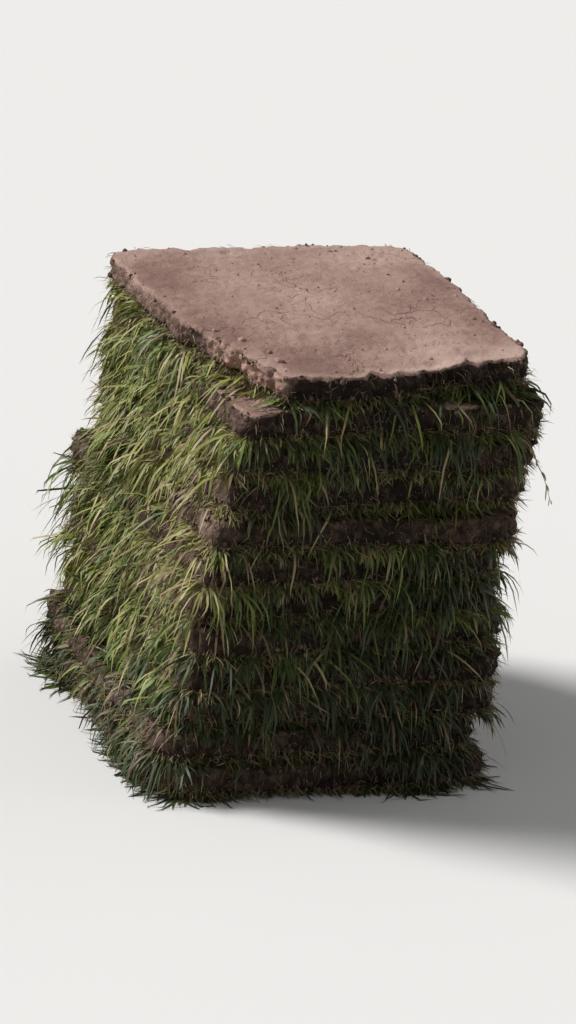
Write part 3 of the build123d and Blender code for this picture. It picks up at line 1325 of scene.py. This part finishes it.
# %% [markdown]
# ## Thatch and roots
#
# Between the leaves and the soil of a lawn lies thatch, a mat of dead stems. Its fine
# straws poke out of each seam every way, mostly along it. They fill the groove that
# the blades leave open, and they are thinner, curlier and browner than blades.
#
# A spade also cuts a web of fine roots, and their ends stand out of every cut side like pale
# bristles. They start just inside the soil, thicker near the grass, and hang down. Both are
# ribbons of three steps, so one function grows them, and each has its own habit: pairs are
# the least and the most, but a pitch is its mean and its spread.

# %% Habits of fine fibres
fine_steps = 3
thatch_habit = {
    "pitch": (-0.05, 0.35), "length": (5 * mm, 17 * mm), "clearance": (0.1 * mm, 1.2 * mm),
    "droop": 0.5, "spring": 0.22, "width": (0.35 * mm, 0.8 * mm), "tone": (0.02, 0.42)}
root_habit = {
    "pitch": (-0.5, 0.5), "length": (3 * mm, 11 * mm), "clearance": (0.1 * mm, 0.8 * mm),
    "droop": 1.3, "spring": 0.35, "width": (0.25 * mm, 0.5 * mm), "tone": (0.03, 0.24)}


def grow_fine_fibres(name, rng, starts, out, habit):
    """Grow thin fibres from their roots and ways out, by their habit."""
    count = len(starts)
    yaw = rng.normal(0, 1.0, count)
    pitch = rng.normal(*habit["pitch"], count)
    lengths = rng.uniform(*habit["length"], count)
    clearance = rng.uniform(*habit["clearance"], count)
    ways = turned_ways(out, yaw, pitch)
    paths = grow_paths(rng, starts, ways, lengths, fine_steps, habit["droop"], habit["spring"],
                       clearance)
    shape = ribbons(rng, paths, rng.uniform(*habit["width"], count), 0.8)
    new_fibres(name, shape, rng.uniform(*habit["tone"], count))


# %% Grow the thatch
straws_per_slab = 2000


def grow_thatch(number, slab):
    rng = np.random.default_rng(2000 + number)
    starts, out = grass_starts(rng, slab, rng.random(straws_per_slab), -0.5 * mm, 3 * mm)
    grow_fine_fibres(f"thatch_{number + 1:02d}", rng, starts, out, thatch_habit)


for number, slab in enumerate(slabs):
    grow_thatch(number, slab)
print("straws", straws_per_slab * len(slabs))

# %% Grow the roots
roots_per_slab = 1500
root_rows = 4.0  # of the cut side's rows, the mean height above the grass
root_inset = 1.2 * mm


def grow_roots(number, slab):
    rng = np.random.default_rng(3000 + number)
    column = rng.integers(0, column_count, roots_per_slab)
    row = np.minimum(rng.exponential(root_rows, roots_per_slab), side_rows - 1).astype(int)
    out = unit(outward_ways(slab["side"][0])[column])
    starts = slab["side"][row, column]
    starts[:, :2] -= out * root_inset
    grow_fine_fibres(f"roots_{number + 1:02d}", rng, starts, out, root_habit)


for number, slab in enumerate(slabs):
    grow_roots(number, slab)
print("root ends", roots_per_slab * len(slabs))

# %% [markdown]
# ## Runners
#
# Lawn grasses such as these spread by runners, wiry stems with a pair of small leaves at each
# joint. Where a runner was cut through, its end hangs out of the stack over several slabs.

# %% Tubes along paths
tube_sides = 5


def tubes(paths, radius):
    """Points and faces of round stems along paths, closed at the tip by its own narrowness."""
    count, stops, _ = paths.shape
    _, across, square = path_frames(paths)
    angle = np.arange(tube_sides) * 2 * pi / tube_sides
    taper = radius * np.linspace(1, 0.25, stops)[:, None, None]
    ring = across[:, :, None] * np.cos(angle)[:, None] + square[:, :, None] * np.sin(angle)[:, None]
    points = (paths[:, :, None] + ring * taper).reshape(-1, 3)
    first = (np.arange(count)[:, None] * stops + np.arange(stops - 1)).ravel()[:, None] * tube_sides
    side = np.arange(tube_sides)
    after = (side + 1) % tube_sides
    corners = [first + side, first + after, first + tube_sides + after, first + tube_sides + side]
    faces = np.stack(corners, axis=2).reshape(-1, 4)
    along = np.repeat(np.linspace(0, 1, stops), tube_sides)
    return points, [faces], np.tile(along, count)


# %% Grow the runners
runner_count = 15
runner_steps = 14
runner_radius = 0.55 * mm


def grow_runners():
    """Grow the stems, and give their paths, on which the leaves grow."""
    rng = np.random.default_rng(4000)
    starts, outs = [], []
    for chosen in rng.integers(2, len(slabs), runner_count):
        start, out = grass_starts(rng, slabs[chosen], rng.random(1), 1 * mm, 3 * mm)
        starts.append(start)
        outs.append(out)
    starts, out = np.concatenate(starts), np.concatenate(outs)
    yaw = rng.normal(0, 0.9, runner_count)
    ways = turned_ways(out, yaw, rng.normal(-0.1, 0.2, runner_count))
    lengths = rng.uniform(22, 66, runner_count) * mm
    clearance = rng.uniform(1.2, 3.0, runner_count) * mm
    paths = grow_paths(rng, starts, ways, lengths, runner_steps, 2.4, 0.13, clearance)
    tones = rng.uniform(0.18, 0.5, runner_count)
    new_fibres("runners", tubes(paths, runner_radius), tones, first_tip=0.5)
    return paths


runner_paths = grow_runners()
print("runners", runner_count)

# %% Grow their leaves
leaf_steps = 4
first_joint, joint_steps = 3, 2


def grow_runner_leaves(paths):
    """Grow two leaves at each joint of the stems, mostly on opposite sides."""
    rng = np.random.default_rng(4100)
    along, across, _ = path_frames(paths)
    joints = np.arange(first_joint, runner_steps + 1, joint_steps)
    side = np.where(rng.random((len(paths), len(joints), 1)) < 0.5, -1.0, 1.0)
    ways = along[:, joints] + across[:, joints] * side * rng.uniform(0.4, 1.2, side.shape)
    others = along[:, joints] - across[:, joints] * side * 0.6
    ways = np.concatenate([ways, others]).reshape(-1, 3)
    starts = np.concatenate([paths[:, joints]] * 2).reshape(-1, 3)
    count = len(starts)
    lengths = rng.uniform(4, 13, count) * mm
    clearance = rng.uniform(0.8, 3.5, count) * mm
    leaves = grow_paths(rng, starts, ways, lengths, leaf_steps, 0.9, 0.08, clearance)
    shape = ribbons(rng, leaves, rng.uniform(0.9, 1.7, count) * mm, 0.5)
    new_fibres("runner_leaves", shape, rng.uniform(0.3, 0.8, count), first_tip=0.4)
    return count


print("leaves on the runners", grow_runner_leaves(runner_paths))

# %% [markdown]
# ## Crumbs and clods
#
# Loose soil never stays in place. Crumbs lie in the seams and on the open face, and a few clods
# as large as peas sit near its edges. Each is a rough little ball: the corners of an icosphere
# are moved in and out by the same two noises, and it is stretched and turned at random.

# %% Crumb helpers
def ball_template(subdivisions):
    """Corners and triangles of an icosphere of radius 1."""
    ball = bmesh.new()
    bmesh.ops.create_icosphere(ball, subdivisions=subdivisions, radius=1)
    corners = np.array([vert.co for vert in ball.verts])
    triangles = np.array([[vert.index for vert in face.verts] for face in ball.faces])
    ball.free()
    return corners, triangles


def rough_balls(rng, subdivisions, places, sizes, lumps):
    """Points and faces of rough balls of these sizes across, with this many lumps across one."""
    corners, triangles = ball_template(subdivisions)
    count = len(places)
    axes = unit(rng.normal(0, 1, (count, 3)))
    second = unit(np.cross(axes, rng.normal(0, 1, (count, 3))))
    turn = np.stack([axes, second, np.cross(axes, second)], axis=1)
    shape = corners[None] * rng.uniform(0.6, 1.25, (count, 1, 3))
    around = (corners[None] + rng.uniform(-90, 90, (count, 1, 3))).reshape(-1, 3)
    swell = 1 + 0.3 * soft_noise(around, 2 / lumps, 71) + 0.2 * crumb_noise(around, 1.4 / lumps, 72)
    shape = np.einsum("nvi,nij->nvj", shape, turn) * swell.reshape(count, -1, 1)
    points = places[:, None] + shape * (sizes / 2)[:, None, None]
    faces = np.arange(count)[:, None, None] * len(corners) + triangles
    return points.reshape(-1, 3), [faces.reshape(-1, 3)], len(corners)


def new_crumbs(name, rng, subdivisions, places, sizes, dryness, lumps=2):
    """Make a piece of rough balls and store with each one how dry and how dark it is."""
    points, blocks, corner_total = rough_balls(rng, subdivisions, places, sizes, lumps)
    values = {"dryness": dryness, "damp": rng.uniform(-1, 1, len(places)),
              "depth": rng.random(len(places))}
    values = {key: np.repeat(value, corner_total) for key, value in values.items()}
    new_piece(name, points, blocks, values, crumb_material)


# %% Crumb material
crumb_bump = 0.7 * mm


def make_crumb_material():
    material, tree, shader = new_material("Loose soil", roughness=0.95, specular=0.2)
    earth = place_group(tree, earth_group, Crumb_Scale=420.0)
    tone = weighed(tree, 0.0, (earth["Grain"], 0.6), (stored(tree, "depth"), 0.5))
    moist = colour_ramp(tree, tone, [(0.25, moist_dark_and_crease_shade), (0.55, moist_brown), (0.95, root_brown)])
    dry = colour_ramp(tree, tone, [(0.2, dry_damp), (0.5, dry_mauve), (0.9, dry_pale)])
    colour = mixed(tree, stored(tree, "dryness"), moist, dry)
    rough = weighed(tree, 0.85, (earth["Grain"], 0.15))
    set_finish(tree, shader, colour, rough, earth["Crumb Height"], 0.8, crumb_bump)
    return material


crumb_material = make_crumb_material()
print("crumb material with", len(crumb_material.node_tree.nodes), "nodes")

# %% Crumbs in the seams
seam_crumbs_per_slab = 190
seam_rows = 3  # of a cut side, next to each of its edges


def seam_crumb_places(rng, slab, count):
    """Places near the lower or the upper edge of a cut side."""
    column = rng.integers(0, column_count, count)
    is_low = rng.random(count) < 0.5
    low_row = rng.integers(0, seam_rows, count)
    high_row = side_rows - 1 - rng.integers(0, seam_rows, count)
    return slab["side"][np.where(is_low, low_row, high_row), column]


rng = np.random.default_rng(5000)
places = np.concatenate([seam_crumb_places(rng, slab, seam_crumbs_per_slab) for slab in slabs])
sizes = rng.uniform(1.2, 3.6, len(places)) * mm
new_crumbs("seam_crumbs", rng, 1, places, sizes, rng.uniform(0, 0.35, len(places)))
print("crumbs in the seams", len(places))

# %% Crumbs on the open faces
face_crumb_count = 260
largest_crumb = 4.0 * mm
crumb_sink = 0.15  # of its size
just_above = (0, 0, 4 * mm)

open_points = np.concatenate([slab["open_points"] for slab in slabs[-2:]])
from_axis = np.linalg.norm(open_points[:, :2] - axis_point, axis=1)
bared = stack_reach(open_points + just_above) < from_axis
bared[-len(top["open_points"]):] = True
open_points = open_points[bared]
places = open_points[rng.integers(0, len(open_points), face_crumb_count)]
sizes = np.minimum(rng.gamma(2.0, 0.65, face_crumb_count) * mm, largest_crumb)
places = places - np.outer(sizes * crumb_sink, (0, 0, 1))
new_crumbs("face_crumbs", rng, 1, places, sizes, rng.uniform(0.75, 1.0, face_crumb_count))
print("crumbs on the open faces", face_crumb_count)

# %% Clods near the edges
clod_count = 6
clod_sink = 0.2  # of its size
edge_zone = 0.6  # of the way out, beyond which clods lie

to_edge = np.abs(open_points[:, :2] - axis_point).max(axis=1)
near_edge = open_points[to_edge > edge_zone * to_edge.max()]
places = near_edge[rng.integers(0, len(near_edge), clod_count)]
sizes = rng.uniform(3.5, 6.0, clod_count) * mm
places = places - np.outer(sizes * clod_sink, (0, 0, 1))
new_crumbs("clods", rng, 4, places, sizes, rng.uniform(0.8, 1.0, clod_count), 3)
print("clods", clod_count)

# %% [markdown]
# ## Root ends on the open face
#
# The open face is the underside of a lawn, so roots were cut off there too, but flush. Short
# ends of them lie flat on it. Each point of such a fibre is laid on the mat by a ray from above.

# %% Lay root ends on the open faces
flat_root_count = 420
flat_root_steps = 4
above_root = 20 * mm  # a ray down starts so far above it
sunk_base, raised_tip = -0.2 * mm, 0.35 * mm
steepest_drop = 2.5 * mm  # a root end that falls further would lie over an edge


def lay_on(tree, points, rises):
    """Set points down on a surface, each with its own rise, where there is one under them."""
    for point, rise in zip(points, rises):
        hit = tree.ray_cast(Vector((point[0], point[1], point[2] + above_root)), down)[0]
        if hit is not None:
            point[2] = hit.z + rise


def wandering_paths(rng, count):
    """Level paths that start on the open faces and bend one way."""
    place = open_points[rng.integers(0, len(open_points), count)]
    heading = rng.uniform(0, 2 * pi, count)
    bend = rng.normal(0, 0.5, count)
    stride = rng.uniform(0.8, 3.2, count) * mm
    paths = [place]
    for step in range(flat_root_steps):
        angle = heading + bend * step + rng.normal(0, 0.25, count)
        move = [np.cos(angle) * stride, np.sin(angle) * stride, np.zeros(count)]
        place = place + np.column_stack(move)
        paths.append(place)
    return np.stack(paths, axis=1)


rng = np.random.default_rng(6000)
paths = wandering_paths(rng, flat_root_count)
rises = np.tile(np.linspace(sunk_base, raised_tip, flat_root_steps + 1), flat_root_count)
for slab in slabs[-2:]:
    tree = BVHTree.FromObject(slab["mat"], bpy.context.evaluated_depsgraph_get())
    lay_on(tree, paths.reshape(-1, 3), rises)
paths = paths[np.ptp(paths[..., 2], axis=1) < steepest_drop]
shape = ribbons(rng, paths, rng.uniform(0.3, 0.65, len(paths)) * mm, 0.5)
new_fibres("flat_roots", shape, rng.uniform(0.05, 0.3, len(paths)))
print("flat roots", len(paths))

# %% [markdown]
# ## Studio
#
# The stack stands on a plain pale floor. The key lamp is a soft one, high on the left and a
# little behind, so that the left side and the open face are bright and the front falls into
# shade, as they do outdoors. A lamp near by would burn out the floor beneath it, so this one is of
# the Sun kind, which lights all of the floor alike. A wide angle makes its shadows soft, and
# the world fills the shade. A weak, very broad fill lamp stands low on the right, so that side
# can be seen too and the front stays in shade. The floor looks pale, but it throws back only as
# much light as bare ground, because outdoors the shaded sides get little from below.

# %% The floor
floor_half = 6.0
floor_as_lit = (0.36, 0.35, 0.34)
floor_as_seen = (0.75, 0.74, 0.72)


def make_floor():
    mesh = bpy.data.meshes.new("floor")
    corners = [(-floor_half, -floor_half, 0), (floor_half, -floor_half, 0),
               (floor_half, floor_half, 0), (-floor_half, floor_half, 0)]
    mesh.from_pydata(corners, [], [(0, 1, 2, 3)])
    floor = bpy.data.objects.new("floor", mesh)
    bpy.context.scene.collection.objects.link(floor)
    material, tree, shader = new_material("Pale floor", roughness=0.9, specular=0.2)
    rays = tree.nodes.new("ShaderNodeLightPath").outputs
    seen = reckoned(tree, "MAXIMUM", rays["Is Camera Ray"], rays["Is Glossy Ray"])
    colour = mixed(tree, seen, floor_as_lit, floor_as_seen)
    tree.links.new(colour, shader.inputs["Base Color"])
    mesh.materials.append(material)


make_floor()
print("floor", floor_half * 2, "m wide")

# %% The lamps
lamp_distance = 2.0


def way_from(azimuth, elevation):
    """The way from the stack to a lamp or the camera. Azimuth 0 is in front of the stack."""
    turn, lift = radians(azimuth), radians(elevation)
    return Vector((sin(turn) * cos(lift), -cos(turn) * cos(lift), sin(lift)))


def add_lamp(name, azimuth, elevation, softness, strength):
    """A far lamp, so broad that its shadows are soft."""
    away = way_from(azimuth, elevation)
    lamp = bpy.data.lights.new(name, "SUN")
    lamp.angle = radians(softness)
    lamp.energy = strength
    holder = bpy.data.objects.new(name, lamp)
    holder.location = away * lamp_distance
    holder.rotation_euler = away.to_track_quat("Z", "Y").to_euler()
    bpy.context.scene.collection.objects.link(holder)


add_lamp("key", azimuth=-118, elevation=38, softness=20, strength=4.3)
add_lamp("fill", azimuth=92, elevation=12, softness=60, strength=0.8)

# %% The world
world_strength = 0.25
sky_colour = (0.97, 0.98, 1.0, 1)
backdrop_colour = (0.93, 0.93, 0.92, 1)


def set_world():
    """Light the shade from all round, and show the camera a pale backdrop."""
    world = bpy.data.worlds.new("Studio")
    world.use_nodes = True
    tree = world.node_tree
    light = tree.nodes["Background"]
    light.inputs["Color"].default_value = sky_colour
    light.inputs["Strength"].default_value = world_strength
    seen = add_node(tree, "ShaderNodeBackground", Color=backdrop_colour)
    rays = tree.nodes.new("ShaderNodeLightPath")
    mix = tree.nodes.new("ShaderNodeMixShader")
    tree.links.new(rays.outputs["Is Camera Ray"], mix.inputs[0])
    tree.links.new(light.outputs[0], mix.inputs[1])
    tree.links.new(seen.outputs[0], mix.inputs[2])
    tree.links.new(mix.outputs[0], tree.nodes["World Output"].inputs["Surface"])
    bpy.context.scene.world = world


set_world()
print("world strength", world_strength)

# %% [markdown]
# ## Camera
#
# The stack is seen from standing eye height, from its front left, and through a long lens,
# because it is small and stood far off to one side of the picture. Such a place in a wide
# picture also makes upright things lean away from its middle, so the camera is rolled.

# %% Place the camera
view_azimuth, view_elevation = -25.5, 21.5
view_distance = 3.55
view_roll = radians(8.0)
picture_height = 1024
pixels_per_metre = 1640

camera_data = bpy.data.cameras.new("camera")
camera = bpy.data.objects.new("camera", camera_data)
bpy.context.scene.collection.objects.link(camera)
centre = Vector([(cad_box[0][i] + cad_box[1][i]) / 2 for i in range(3)])
away = way_from(view_azimuth, view_elevation)
camera.location = centre + away * view_distance
camera.rotation_mode = "QUATERNION"
camera.rotation_quaternion = away.to_track_quat("Z", "Y") @ Quaternion((0, 0, 1), view_roll)
camera_data.sensor_width = 36
camera_data.lens = camera_data.sensor_width * pixels_per_metre * view_distance / picture_height
bpy.context.scene.camera = camera
bpy.context.scene.view_settings.view_transform = "Standard"
print(f"lens {camera_data.lens:.0f} mm")

# %% Count the pieces and their triangles
dressed = [obj for obj in bpy.data.objects
           if obj.type == "MESH" and obj.name != "floor" and obj.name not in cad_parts]
triangles = sum(len(face.vertices) - 2 for obj in dressed for face in obj.data.polygons)
print("pieces", len(dressed), "triangles", triangles)
